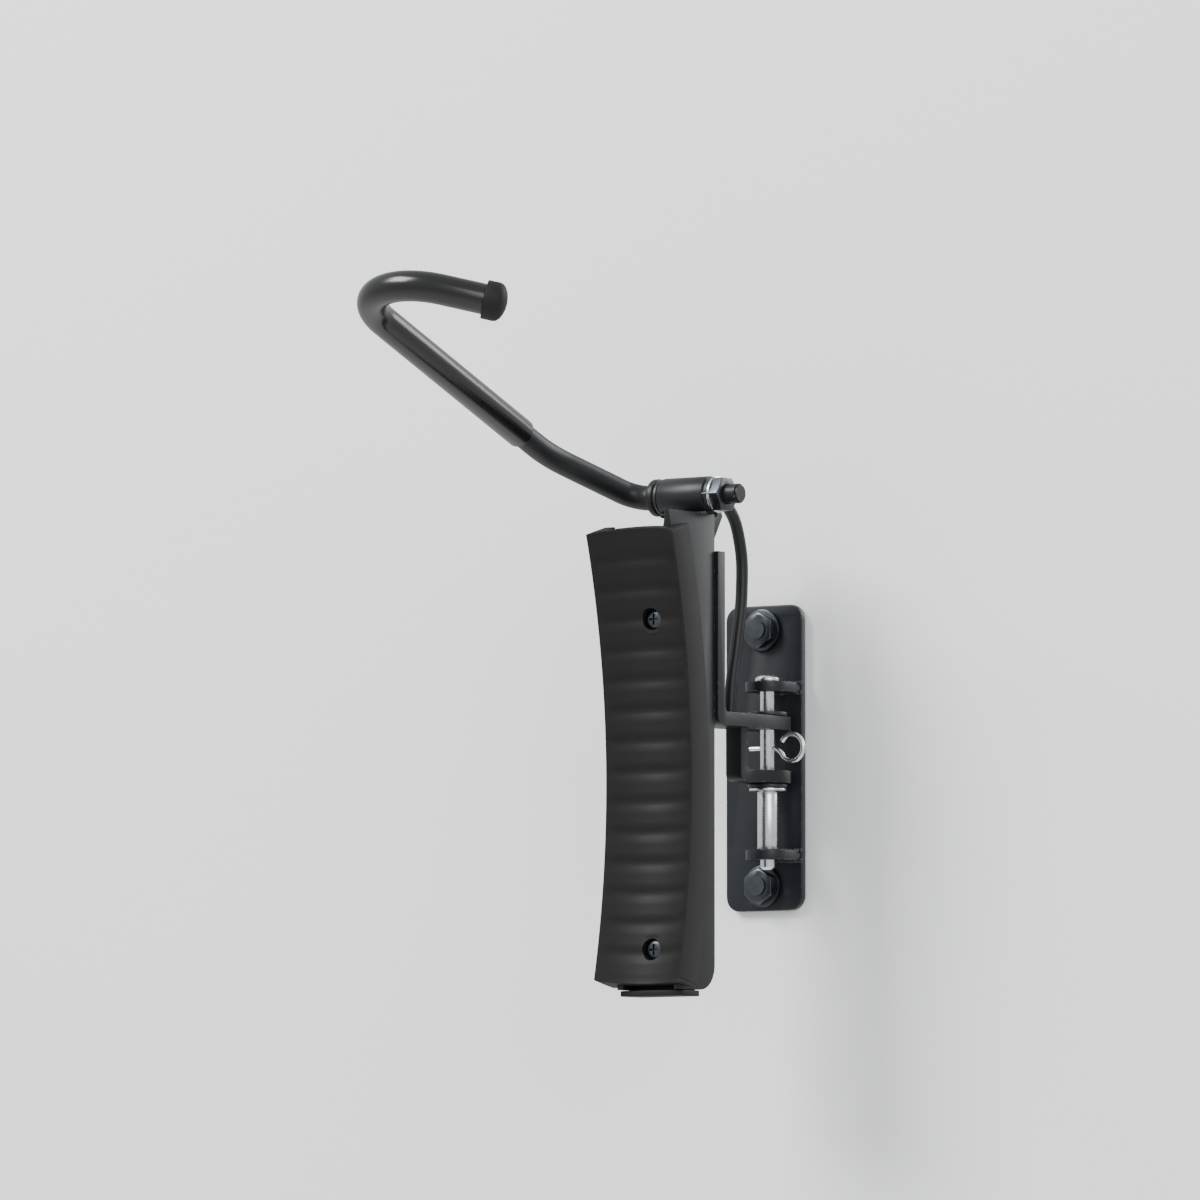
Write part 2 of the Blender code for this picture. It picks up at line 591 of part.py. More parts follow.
def make_spine_end_cap():
    """A moulded plug in the bottom of the channel, with a lip over its edges."""
    lip_bottom = SPINE_BOTTOM - 2.6 * MM
    lip_front = tread_y(FLANGE_EDGE_RADIUS, SPINE_BOTTOM) + 1 * MM
    lip = rounded([(-SPINE_HALF_WIDTH, lip_front, 2 * MM), (SPINE_HALF_WIDTH, lip_front, 2 * MM),
                   (SPINE_HALF_WIDTH, SPINE_BACK - 9 * MM, 3 * MM),
                   (-SPINE_HALF_WIDTH, SPINE_BACK - 9 * MM, 3 * MM)], steps_per_quarter=3)
    lip_top = SPINE_BOTTOM - GAP
    cap = add_part("spine_end_cap", slab("spine_end_cap", lip, lip_top - lip_bottom),
                   CRADLE_BLACK, SWING_PIVOT, (0, 0, (lip_top + lip_bottom) / 2))
    plug_half = SPINE_HALF_WIDTH - SPINE_WALL - GAP
    plug_front = SPINE_BACK - 19 * MM
    plug_back = SPINE_BACK - 10 * MM
    plug = block("cap_plug", (2 * plug_half, plug_back - plug_front, 10 * MM))
    combine(cap, add_cutter("cap_plug", plug, (0, (plug_front + plug_back) / 2,
                                              lip_top + 4 * MM)), "UNION")


def make_pivot_barrel():
    middle = (BARREL_LEFT + BARREL_RIGHT) / 2
    half = (BARREL_RIGHT - BARREL_LEFT) / 2
    centre = (middle, AXLE_Y, AXLE_Z)
    barrel = turned("pivot_barrel", ring_profile(BARREL_RADIUS, BARREL_BORE, -half, half))
    add_part("pivot_barrel", barrel, FRAME_COAT, SWING_PIVOT, centre, ALONG_X)
    profile = [(radius, height + half + GAP) for radius, height in
               bush_profile(AXLE_RADIUS + GAP, BARREL_BORE - GAP, BARREL_RADIUS - 0.4 * MM,
                            BARREL_BUSH_LENGTH)]
    bush = turned("barrel_bush", profile)
    for name, turn in (("right", ALONG_X), ("left", (0, -math.pi / 2, 0))):
        add_part(f"barrel_bush_{name}", bush, BUSH_NYLON, SWING_PIVOT, centre, turn)


def make_barrel_gusset():
    """A small rib behind the spine, under the barrel."""
    front = SPINE_BACK + GAP
    reach = BARREL_RADIUS + GAP + 0.1 * MM
    outline = [Vector((front, BRACKET_TOP + 2 * MM)),
               Vector((front + 1 * MM, BRACKET_TOP + 2 * MM)),
               Vector((AXLE_Y + reach + 2 * MM, AXLE_Z - 8 * MM))]
    for angle in (-18, -36, -54, -72):
        turn = math.radians(angle)
        outline.append(Vector((AXLE_Y + reach * math.cos(turn), AXLE_Z + reach * math.sin(turn))))
    outline.append(Vector((front, AXLE_Z - reach + 0.2 * MM)))
    add_part("barrel_gusset", slab("barrel_gusset", outline, 4 * MM), FRAME_COAT, SWING_PIVOT,
             location=(11 * MM, 0, 0), turn=SIDE_OUTLINE)


def make_rear_brace():
    """A bowed rod behind the spine, from the back of the barrel down to the upper knuckle."""
    radius = 2.5 * MM
    foot = UPPER_KNUCKLE[1] + GAP
    start = AXLE_Y + BARREL_RADIUS + GAP
    route = [(start, AXLE_Z + 0.5 * MM), (-44 * MM, AXLE_Z + 0.5 * MM), (-33 * MM, 98.5 * MM),
             (-26 * MM, 86 * MM), (-24.5 * MM, 68 * MM), (-28 * MM, 46 * MM),
             (-32 * MM, 28 * MM), (-33 * MM, foot)]
    curve = bpy.data.curves.new("rear_brace", "CURVE")
    curve.dimensions = "3D"
    curve.bevel_depth = radius
    curve.bevel_resolution = 3
    curve.use_fill_caps = True
    curve.resolution_u = 4
    spline = curve.splines.new("BEZIER")
    spline.bezier_points.add(len(route) - 1)
    for point, (y, z) in zip(spline.bezier_points, route):
        point.co = (BRACE_X, y, z)
        point.handle_left_type = "AUTO"
        point.handle_right_type = "AUTO"
    ends = (spline.bezier_points[0], spline.bezier_points[-1])
    for point in ends:
        point.handle_left_type = "VECTOR"
        point.handle_right_type = "VECTOR"
    mesh = mesh_of(bpy.data.objects.new("rear_brace", curve))
    add_part("rear_brace", mesh, FRAME_COAT, SWING_PIVOT)


# Hook arm

def tip_point(distance):
    """The point this far from the crook's corner, along the tip's line."""
    return (LEG_X + distance * math.cos(TIP_SLOPE), CROOK_CORNER - distance * math.sin(TIP_SLOPE))


def make_arm_rod():
    """One bent rod: stud, axle, leg beside the tyre, and the crook round its front."""
    shoulder = BARREL_RIGHT + 3.2 * MM
    path = [Vector((STUD_END, 0)), Vector((shoulder + 0.1 * MM, 0))]
    path += rounded([(shoulder, 0, 0), (-22 * MM, 0, 12 * MM), (LEG_X, 42 * MM, 50 * MM),
                     (LEG_X, CROOK_CORNER, CROOK_RADIUS), (*tip_point(ROD_END), 0)],
                    closed=False, steps_per_quarter=9)
    mesh = swept_rod("arm_rod", path, AXLE_RADIUS, 3, narrow_points=2,
                     narrow_factor=STUD_RADIUS / AXLE_RADIUS)
    add_part("arm_rod", mesh, FRAME_COAT, ARM_PIVOT, (0, AXLE_Y, AXLE_Z), ARM_PLANE)


def make_hook_sleeve():
    """A plastic tube over the leg and the crook."""
    def run(start, end):
        return rounded([(LEG_X, start, 0), (LEG_X, CROOK_CORNER, CROOK_RADIUS),
                        (*tip_point(end), 0)], closed=False, steps_per_quarter=9)

    outer = swept_rod("hook_sleeve", run(SLEEVE_START, ROD_END), SLEEVE_RADIUS, 3)
    inner = swept_rod("sleeve_bore", run(SLEEVE_START - 5 * MM, ROD_END + 5 * MM),
                      AXLE_RADIUS + GAP, 3)
    place = (0, AXLE_Y, AXLE_Z)
    sleeve = add_part("hook_sleeve", outer, SLEEVE_BLACK, ARM_PIVOT, place, ARM_PLANE)
    combine(sleeve, add_cutter("sleeve_bore", inner, place, ARM_PLANE))
    bore = SLEEVE_RADIUS + GAP
    floor = ROD_END + GAP
    dome = [(TIP_RADIUS * math.cos(angle), -floor - 0.5 * MM - (TIP_END - floor - 0.5 * MM)
             * math.sin(angle)) for angle in (math.radians(a) for a in (0, 22, 45, 68))]
    profile = [(TIP_RADIUS, -TIP_START)] + dome + [(0, -TIP_END), (0, -floor), (bore, -floor),
                                                   (bore, -TIP_START)]
    in_plane = Matrix.Rotation(ARM_PLANE[0], 3, "X")
    tip_rotation = (in_plane @ Matrix.Rotation(math.pi / 2 - TIP_SLOPE, 3, "Z")
                    @ Matrix.Rotation(-math.pi / 2, 3, "X"))
    tip_place = Vector(place) + in_plane @ Vector((LEG_X, CROOK_CORNER, 0))
    mesh = turned_open("hook_tip", profile)
    add_part("hook_tip", mesh, CRADLE_BLACK, ARM_PIVOT, tip_place, tip_rotation.to_euler())


def turned_open(name, profile):
    """A cup: its closed-off profile crosses the axis, so both ends there are merged."""
    mesh = bpy.data.meshes.new(name)
    last = len(profile)
    on_axis = [i for i, (radius, _) in enumerate(profile) if radius == 0]
    edges = [(i, (i + 1) % last) for i in range(last) if i != on_axis[0]]
    mesh.from_pydata([(radius, 0, height) for radius, height in profile], edges, [])
    blank = bpy.data.objects.new(name, mesh)
    screw = blank.modifiers.new("turn", "SCREW")
    screw.steps = ROUND_STEPS
    screw.render_steps = ROUND_STEPS
    screw.use_merge_vertices = True
    screw.merge_threshold = 0.01 * MM
    return mesh_of(blank)


def make_axle_hardware():
    near = BARREL_RIGHT + 2 * GAP + BUSH_FLANGE_THICKNESS
    washer_top = near + 1.2 * MM
    bore = AXLE_RADIUS + GAP
    washer = turned("friction_washer", ring_profile(7.4 * MM, bore, near, washer_top))
    axis = (0, AXLE_Y, AXLE_Z)
    add_part("friction_washer", washer, BRIGHT_ZINC, ARM_PIVOT, axis, ALONG_X)
    far = BARREL_LEFT - 2 * GAP - BUSH_FLANGE_THICKNESS
    collar = turned("arm_collar", ring_profile(7.6 * MM, bore, far - 3 * MM, far))
    add_part("arm_collar", collar, FRAME_COAT, ARM_PIVOT, axis, ALONG_X)
    nut_seat = washer_top + GAP
    nut = turned("axle_nut", hex_profile(NUT_FLATS, nut_seat, nut_seat + NUT_HEIGHT, 0.8 * MM), 6)
    part = add_part("axle_nut", nut, BLACK_ZINC, ARM_PIVOT, axis, ALONG_X)
    drill = turned("axle_nut_bore", rod_profile(STUD_RADIUS + GAP, 0, 40 * MM), 20)
    combine(part, add_cutter("axle_nut_bore", drill, axis, ALONG_X))


make_wall_plate()
make_wall_fasteners()
make_hinge_lugs()
make_hinge_pin()
make_pin_spacers()
make_pin_clip()
make_swing_bracket()
make_hinge_bushes()
make_spine()
make_bracket_fasteners()
make_cradle()
make_spine_end_cap()
make_pivot_barrel()
make_barrel_gusset()
make_rear_brace()
make_arm_rod()
make_hook_sleeve()
make_axle_hardware()
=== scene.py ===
import math

import bmesh
import bpy
from mathutils import Matrix, Vector


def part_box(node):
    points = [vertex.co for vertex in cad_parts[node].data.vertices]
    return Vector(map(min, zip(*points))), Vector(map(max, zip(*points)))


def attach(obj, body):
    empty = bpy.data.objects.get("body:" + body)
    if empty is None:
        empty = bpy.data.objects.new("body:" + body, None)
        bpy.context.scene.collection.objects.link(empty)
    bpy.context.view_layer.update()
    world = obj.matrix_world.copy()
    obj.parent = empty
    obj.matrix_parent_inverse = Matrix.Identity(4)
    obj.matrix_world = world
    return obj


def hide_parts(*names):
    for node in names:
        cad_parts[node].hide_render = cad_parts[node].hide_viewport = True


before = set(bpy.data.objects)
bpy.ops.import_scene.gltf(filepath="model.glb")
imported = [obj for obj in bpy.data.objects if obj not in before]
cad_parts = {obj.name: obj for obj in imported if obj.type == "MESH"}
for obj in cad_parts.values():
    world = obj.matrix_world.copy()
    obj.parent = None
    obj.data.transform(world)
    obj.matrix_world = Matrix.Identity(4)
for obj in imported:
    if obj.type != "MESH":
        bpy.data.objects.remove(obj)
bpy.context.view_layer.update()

mm = 0.001
alongZ = (0, 0, 0)
alongX = (0, math.pi / 2, 0)
outOfWall = (math.pi / 2, 0, 0)  # a shape's own +Z comes out into the room
intoWall = (-math.pi / 2, 0, 0)


# ---- selecting and finishing ----

def deselectAll():
    if bpy.context.object and bpy.context.object.mode != "OBJECT":
        bpy.ops.object.mode_set(mode="OBJECT")
    bpy.ops.object.select_all(action="DESELECT")


def makeActive(piece):
    deselectAll()
    piece.select_set(True)
    bpy.context.view_layer.objects.active = piece


def pickFaces(test):
    bpy.ops.mesh.select_mode(type="FACE")
    bpy.ops.mesh.select_all(action="DESELECT")
    shape = bmesh.from_edit_mesh(bpy.context.object.data)
    for face in shape.faces:
        face.select_set(bool(test(face)))
    bmesh.update_edit_mesh(bpy.context.object.data)


def roundEdges(piece, width, segments=3, angle=40):
    if width <= 0:
        return
    makeActive(piece)
    bevel = piece.modifiers.new("edges", "BEVEL")
    bevel.width = width
    bevel.segments = segments
    bevel.limit_method = "ANGLE"
    bevel.angle_limit = math.radians(angle)
    bevel.use_clamp_overlap = True
    bpy.ops.object.modifier_apply(modifier="edges")


def carve(piece, tool, operation="DIFFERENCE"):
    makeActive(piece)
    cut = piece.modifiers.new("cut", "BOOLEAN")
    cut.operation = operation
    cut.object = tool
    bpy.ops.object.modifier_apply(modifier="cut")
    bpy.data.objects.remove(tool, do_unlink=True)


def settle(piece):
    # place goes into the mesh, normals out
    makeActive(piece)
    bpy.ops.object.transform_apply(location=True, rotation=True, scale=True)
    bpy.ops.object.mode_set(mode="EDIT")
    bpy.ops.mesh.select_all(action="SELECT")
    bpy.ops.mesh.normals_make_consistent(inside=False)
    bpy.ops.object.mode_set(mode="OBJECT")


def fit(piece, body, slot, finish, *nodes):
    settle(piece)
    bpy.ops.object.shade_smooth_by_angle(angle=math.radians(32))
    piece.data.materials.clear()
    piece.data.materials.append(finish)
    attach(piece, body)
    if nodes:
        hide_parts(*nodes)
    return piece


def joinPieces(pieces, name):
    makeActive(pieces[0])
    for piece in pieces:
        piece.select_set(True)
    bpy.ops.object.join()
    joined = bpy.context.object
    joined.name = name
    return joined


def centreOf(node):
    low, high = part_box(node)
    return (low + high) / 2


def sizeOf(node):
    low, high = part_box(node)
    return high - low


# ---- makers ----

def addTurned(name, profile, ring, edge, place, turn=alongZ, sides=56, segments=2):
    # a circle drawn out and scaled, profile point by profile point; a ring's last loop meets its first
    deselectAll()
    radius, height = profile[0]
    bpy.ops.mesh.primitive_circle_add(vertices=sides, radius=radius, location=(0, 0, height))
    piece = bpy.context.object
    piece.name = name
    bpy.ops.object.transform_apply(location=True, rotation=True, scale=True)
    bpy.ops.object.mode_set(mode="EDIT")
    bpy.ops.mesh.select_mode(type="EDGE")
    bpy.ops.mesh.select_all(action="SELECT")
    for nextRadius, nextHeight in profile[1:]:
        bpy.ops.mesh.extrude_edges_move(
            TRANSFORM_OT_translate={"value": (0, 0, nextHeight - height)})
        scale = nextRadius / radius
        bpy.ops.transform.resize(value=(scale, scale, 1), center_override=(0, 0, nextHeight))
        radius, height = nextRadius, nextHeight
    bpy.ops.mesh.select_all(action="DESELECT")
    bpy.ops.mesh.select_non_manifold()
    if ring:
        bpy.ops.mesh.bridge_edge_loops()
    else:
        bpy.ops.mesh.select_all(action="SELECT")
        bpy.ops.mesh.fill_holes(sides=0)
    bpy.ops.mesh.select_all(action="SELECT")
    bpy.ops.mesh.normals_make_consistent(inside=False)
    bpy.ops.object.mode_set(mode="OBJECT")
    roundEdges(piece, edge, segments)
    piece.rotation_euler = turn
    piece.location = place
    settle(piece)
    return piece


def addHex(name, flats, height, place, turn):
    # a hexagon whose corners are turned down, as a forged head's are
    deselectAll()
    corner = flats / math.sqrt(3)
    bpy.ops.mesh.primitive_cylinder_add(vertices=6, radius=corner, depth=height,
                                        location=(0, 0, height / 2))
    head = bpy.context.object
    head.name = name
    chamfer = corner - flats / 2 * 0.97
    profile = [(flats / 2 * 0.97, height), (corner * 0.995, height - chamfer * 0.55),
               (corner * 0.995, chamfer * 0.3), (corner * 0.96, 0)]
    turner = addTurned("turner", profile, False, 0, (0, 0, 0))
    carve(head, turner, "INTERSECT")
    roundEdges(head, 0.18 * mm, 2, 30)
    head.rotation_euler = turn
    head.location = place
    settle(head)
    return head


def addDrill(radius, length, place, turn, sides=48):
    deselectAll()
    bpy.ops.mesh.primitive_cylinder_add(vertices=sides, radius=radius, depth=length,
                                        location=place, rotation=turn)
    return bpy.context.object


def refineNode(node, name, edge, segments=3):
    # the node's own shape, welded and with broken edges
    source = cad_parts[node]
    piece = bpy.data.objects.new(name, source.data.copy())
    bpy.context.scene.collection.objects.link(piece)
    makeActive(piece)
    bpy.ops.object.mode_set(mode="EDIT")
    bpy.ops.mesh.select_all(action="SELECT")
    bpy.ops.mesh.remove_doubles(threshold=0.002 * mm)
    bpy.ops.mesh.dissolve_limited(angle_limit=math.radians(0.4))
    bpy.ops.object.mode_set(mode="OBJECT")
    roundEdges(piece, edge, segments)
    return piece


def addBentRod(name, start, heading, radius, steps, sides=32, wall=0, degreesPerStep=5):
    # a disc, or a ring for a tube, drawn along straight runs and spun round bends, in the XY plane
    deselectAll()
    bpy.ops.mesh.primitive_circle_add(vertices=sides, radius=radius, fill_type="NGON",
                                      location=start, rotation=(math.pi / 2, 0, heading + math.pi / 2))
    rod = bpy.context.object
    rod.name = name
    bpy.ops.object.transform_apply(location=True, rotation=True, scale=True)
    bpy.ops.object.mode_set(mode="EDIT")
    bpy.ops.mesh.select_mode(type="FACE")
    bpy.ops.mesh.select_all(action="SELECT")
    if wall:
        bpy.ops.mesh.inset(thickness=wall)
        bpy.ops.mesh.delete(type="ONLY_FACE")
        bpy.ops.mesh.select_all(action="SELECT")
    place = Vector(start)
    for kind, amount, bendRadius in steps:
        ahead = Vector((math.cos(heading), math.sin(heading), 0))
        if kind == "run":
            bpy.ops.mesh.extrude_region_move(TRANSFORM_OT_translate={"value": ahead * amount})
            place += ahead * amount
        elif kind == "inset":
            bpy.ops.mesh.inset(thickness=amount)
        else:
            left = Vector((-ahead.y, ahead.x, 0))
            centre = place + left * bendRadius
            count = max(2, math.ceil(math.degrees(amount) / degreesPerStep))
            bpy.ops.mesh.spin(steps=count, angle=amount * spinSign, center=centre, axis=(0, 0, 1))
            place = centre + Matrix.Rotation(amount, 3, "Z") @ (place - centre)
            heading += amount
    bpy.ops.mesh.select_all(action="SELECT")
    bpy.ops.mesh.remove_doubles(threshold=0.002 * mm)
    bpy.ops.mesh.normals_make_consistent(inside=False)
    bpy.ops.object.mode_set(mode="OBJECT")
    return rod


def addCurvedRod(name, route, radius, roundness):
    # a round rod through the points, its ends straight and closed
    deselectAll()
    bpy.ops.curve.primitive_bezier_curve_add()
    rod = bpy.context.object
    rod.name = name
    spline = rod.data.splines[0]
    spline.bezier_points.add(len(route) - 2)
    for point, place in zip(spline.bezier_points, route):
        point.co = place
        point.handle_left_type = point.handle_right_type = "AUTO"
    for point in (spline.bezier_points[0], spline.bezier_points[-1]):
        point.handle_left_type = point.handle_right_type = "VECTOR"
    rod.data.bevel_depth = radius
    rod.data.bevel_resolution = roundness
    rod.data.use_fill_caps = True
    rod.data.resolution_u = 10
    makeActive(rod)
    bpy.ops.object.convert(target="MESH")
    bpy.ops.object.mode_set(mode="EDIT")
    bpy.ops.mesh.select_all(action="SELECT")
    bpy.ops.mesh.remove_doubles(threshold=0.002 * mm)
    bpy.ops.object.mode_set(mode="OBJECT")
    return rod


spinSign = -1  # with no window, the spin operator turns clockwise for a positive angle


def addWeld(name, places, radius, body, slot, finish):
    # a run of overlapping flattened beads
    deselectAll()
    bpy.ops.mesh.primitive_ico_sphere_add(subdivisions=2, radius=radius, location=places[0])
    first = bpy.context.object
    beads = [first]
    for i, place in enumerate(places[1:]):
        bead = first.copy()
        bead.data = first.data.copy()
        bead.location = place
        bead.scale = (1.0, 1.0, 0.9 + 0.12 * (i % 2))
        bead.rotation_euler = (0.4 * i, 0.3 * i, 0.7 * i)
        bpy.context.scene.collection.objects.link(bead)
        beads.append(bead)
    weld = joinPieces(beads, name)
    return fit(weld, body, slot, finish)


# ---- materials ----

def linear(code):
    values = [int(code[i:i + 2], 16) / 255 for i in (1, 3, 5)]
    return tuple(v / 12.92 if v <= 0.04045 else ((v + 0.055) / 1.055) ** 2.4 for v in values) + (1.0,)


def addNode(tree, kind, settings=None, links=None):
    # one node, its settings by attribute or socket name, and links from other nodes' sockets
    node = tree.nodes.new(kind)
    for key, value in (settings or {}).items():
        if hasattr(node, key):
            setattr(node, key, value)
        else:
            node.inputs[key].default_value = value
    for key, (source, output) in (links or {}).items():
        tree.links.new(source.outputs[output], node.inputs[key])
    return node


def startMaterial(name, roughness, metallic, **direct):
    material = bpy.data.materials.new(name)
    material.use_nodes = True
    tree = material.node_tree
    shader = tree.nodes["Principled BSDF"]
    shader.inputs["Roughness"].default_value = roughness
    shader.inputs["Metallic"].default_value = metallic
    for key, value in direct.items():
        shader.inputs[key.replace("_", " ")].default_value = value
    coords = addNode(tree, "ShaderNodeTexCoord")
    return material, tree, shader, coords


def powderCoat(name, look):
    # baked polyester powder: a faint orange peel, a satin sheen, fine dust, and bare steel rubbed
    # through along the sharpest edges
    material, tree, shader, coords = startMaterial(name, look["roughness"], 0.0,
                                                   Specular_IOR_Level=look["specular"])
    cloud = addNode(tree, "ShaderNodeTexNoise", {"Scale": 1 / (look["cloudMm"] * mm), "Detail": 4.0},
                    {"Vector": (coords, "Object")})
    tint = addNode(tree, "ShaderNodeMix", {"data_type": "RGBA"}, {"Factor": (cloud, "Fac")})
    tint.inputs[6].default_value = linear(look["dark"])
    tint.inputs[7].default_value = linear(look["light"])
    bevel = addNode(tree, "ShaderNodeBevel", {"samples": 4, "Radius": look["wearMm"] * mm})
    shape = addNode(tree, "ShaderNodeNewGeometry")
    facing = addNode(tree, "ShaderNodeVectorMath", {"operation": "DOT_PRODUCT"},
                     {0: (bevel, "Normal"), 1: (shape, "Normal")})
    scratch = addNode(tree, "ShaderNodeTexNoise", {"Scale": 1 / (1.7 * mm), "Detail": 6.0},
                      {"Vector": (coords, "Object")})
    edge = addNode(tree, "ShaderNodeMapRange", {"From Min": 0.985, "From Max": 0.90,
                                                "To Min": 0.0, "To Max": 1.0},
                   {"Value": (facing, "Value")})
    wornRange = {"From Min": look["wearFrom"], "From Max": look["wearFrom"] + 0.09,
                 "To Min": 0.0, "To Max": look["wear"]}
    worn = addNode(tree, "ShaderNodeMapRange", wornRange, {"Value": (scratch, "Fac")})
    mask = addNode(tree, "ShaderNodeMath", {"operation": "MULTIPLY", "use_clamp": True},
                   {0: (edge, "Result"), 1: (worn, "Result")})
    colour = addNode(tree, "ShaderNodeMix", {"data_type": "RGBA"}, {"Factor": (mask, "Value")})
    tree.links.new(tint.outputs[2], colour.inputs[6])
    colour.inputs[7].default_value = linear(look["bare"])
    tree.links.new(colour.outputs[2], shader.inputs["Base Color"])
    rough = addNode(tree, "ShaderNodeMapRange", {"To Min": look["roughness"] - 0.05,
                                                 "To Max": look["roughness"] + 0.09},
                    {"Value": (cloud, "Fac")})
    tree.links.new(rough.outputs["Result"], shader.inputs["Roughness"])
    peel = addNode(tree, "ShaderNodeTexNoise", {"Scale": 1 / (look["peelMm"] * mm), "Detail": 2.0},
                   {"Vector": (coords, "Object")})
    bump = addNode(tree, "ShaderNodeBump", {"Strength": look["peel"], "Distance": 0.06 * mm},
                   {"Height": (peel, "Fac")})
    tree.links.new(bump.outputs["Normal"], shader.inputs["Normal"])
    return material


def platedSteel(name, look):
    # zinc plating on turned steel: bright, with fine drawn lines and cloudy dull patches
    material, tree, shader, coords = startMaterial(name, look["roughness"], 1.0)
    cloud = addNode(tree, "ShaderNodeTexNoise", {"Scale": 1 / (3.5 * mm), "Detail": 5.0},
                    {"Vector": (coords, "Object")})
    tint = addNode(tree, "ShaderNodeMix", {"data_type": "RGBA"}, {"Factor": (cloud, "Fac")})
    tint.inputs[6].default_value = linear(look["dark"])
    tint.inputs[7].default_value = linear(look["light"])
    tree.links.new(tint.outputs[2], shader.inputs["Base Color"])
    stretch = addNode(tree, "ShaderNodeMapping", {"Scale": look["grain"]}, {"Vector": (coords, "Object")})
    lines = addNode(tree, "ShaderNodeTexNoise", {"Scale": 1 / (1.2 * mm), "Detail": 3.0},
                    {"Vector": (stretch, "Vector")})
    rough = addNode(tree, "ShaderNodeMapRange", {"To Min": look["roughness"] - 0.08,
                                                 "To Max": look["roughness"] + 0.12},
                    {"Value": (lines, "Fac")})
    tree.links.new(rough.outputs["Result"], shader.inputs["Roughness"])
    bump = addNode(tree, "ShaderNodeBump", {"Strength": 0.18, "Distance": 0.03 * mm},
                   {"Height": (lines, "Fac")})
    tree.links.new(bump.outputs["Normal"], shader.inputs["Normal"])
    return material


def mouldedPolymer(name, look):
    # moulded plastic or rubber: an even colour, a fine spark-eroded grain and finger-dulled patches
    material, tree, shader, coords = startMaterial(name, look["roughness"], 0.0, IOR=look["ior"],
                                                   Specular_IOR_Level=look["specular"])
    cloud = addNode(tree, "ShaderNodeTexNoise", {"Scale": 1 / (look["cloudMm"] * mm), "Detail": 5.0},
                    {"Vector": (coords, "Object")})
    tint = addNode(tree, "ShaderNodeMix", {"data_type": "RGBA"}, {"Factor": (cloud, "Fac")})
    tint.inputs[6].default_value = linear(look["dark"])
    tint.inputs[7].default_value = linear(look["light"])
    tree.links.new(tint.outputs[2], shader.inputs["Base Color"])
    rough = addNode(tree, "ShaderNodeMapRange", {"To Min": look["roughness"] - look["roughSpread"],
                                                 "To Max": look["roughness"] + look["roughSpread"]},
                    {"Value": (cloud, "Fac")})
    tree.links.new(rough.outputs["Result"], shader.inputs["Roughness"])
    grain = addNode(tree, "ShaderNodeTexNoise", {"Scale": 1 / (look["grainMm"] * mm), "Detail": 3.0},
                    {"Vector": (coords, "Object")})
    bump = addNode(tree, "ShaderNodeBump", {"Strength": look["grain"], "Distance": look["depthMm"] * mm},
                   {"Height": (grain, "Fac")})
    tree.links.new(bump.outputs["Normal"], shader.inputs["Normal"])
    return material


plateLook = {"dark": "#13171c", "light": "#1b2026", "bare": "#8e9296", "roughness": 0.40, "cloudMm": 14,
             "wearMm": 0.7, "wear": 0.7, "wearFrom": 0.55, "peelMm": 0.9, "peel": 0.35, "specular": 0.32}
frameLook = {"dark": "#17181a", "light": "#212224", "bare": "#8b8d90", "roughness": 0.38, "cloudMm": 18,
             "wearMm": 0.7, "wear": 0.6, "wearFrom": 0.57, "peelMm": 0.9, "peel": 0.35, "specular": 0.27}
zincLook = {"dark": "#c8ccd0", "light": "#eceef0", "roughness": 0.24, "grain": (1.0, 1.0, 6.0)}
blackZincLook = {"dark": "#3a3d41", "light": "#595d62", "roughness": 0.34, "grain": (1.0, 1.0, 1.0)}
sleeveLook = {"dark": "#0b0b0c", "light": "#121213", "roughness": 0.24, "roughSpread": 0.07, "ior": 1.5,
              "cloudMm": 16, "grainMm": 2.6, "grain": 0.10, "depthMm": 0.12, "specular": 0.5}
rubberLook = {"dark": "#0e0e0e", "light": "#171718", "roughness": 0.60, "roughSpread": 0.08, "ior": 1.5,
              "cloudMm": 9, "grainMm": 0.7, "grain": 0.35, "depthMm": 0.08, "specular": 0.25}
nylonLook = {"dark": "#1a1a1b", "light": "#232324", "roughness": 0.42, "roughSpread": 0.05, "ior": 1.53,
             "cloudMm": 6, "grainMm": 0.8, "grain": 0.15, "depthMm": 0.05, "specular": 0.4}

plateCoat = powderCoat("blue_black_powder_coat", plateLook)
frameCoat = powderCoat("charcoal_powder_coat", frameLook)
brightZinc = platedSteel("bright_zinc_plated_steel", zincLook)
blackZinc = platedSteel("black_zinc_plated_steel", blackZincLook)
sleevePlastic = mouldedPolymer("glossy_pvc_tube", sleeveLook)
cradleRubber = mouldedPolymer("moulded_epdm_rubber", rubberLook)
blackNylon = mouldedPolymer("black_nylon", nylonLook)
print("materials made")


# ---- wall plate, lugs and screws ----

plateValues = {"edge": 0.7 * mm, "lugEdge": 0.6 * mm, "weldRadius": 1.1 * mm, "weldStep": 1.0 * mm,
               "weldSink": 0.2 * mm}
plate = refineNode("wall_plate", "coated_wall_plate", plateValues["edge"])
fit(plate, "wall_bracket", "plate_coat", plateCoat, "wall_plate")
for node in ("upper_hinge_lug", "lower_hinge_lug"):
    lug = refineNode(node, node + "_plate", plateValues["lugEdge"])
    fit(lug, "wall_bracket", "plate_coat", plateCoat, node)
    low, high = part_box(node)
    count = int((high.x - low.x) / plateValues["weldStep"])
    for side, height in (("top", high.z), ("bottom", low.z)):
        beads = [(low.x + (high.x - low.x) * i / count, high.y - plateValues["weldSink"], height)
                 for i in range(count + 1)]
        addWeld(f"{node}_weld_{side}", beads, plateValues["weldRadius"], "wall_bracket", "plate_coat",
                plateCoat)

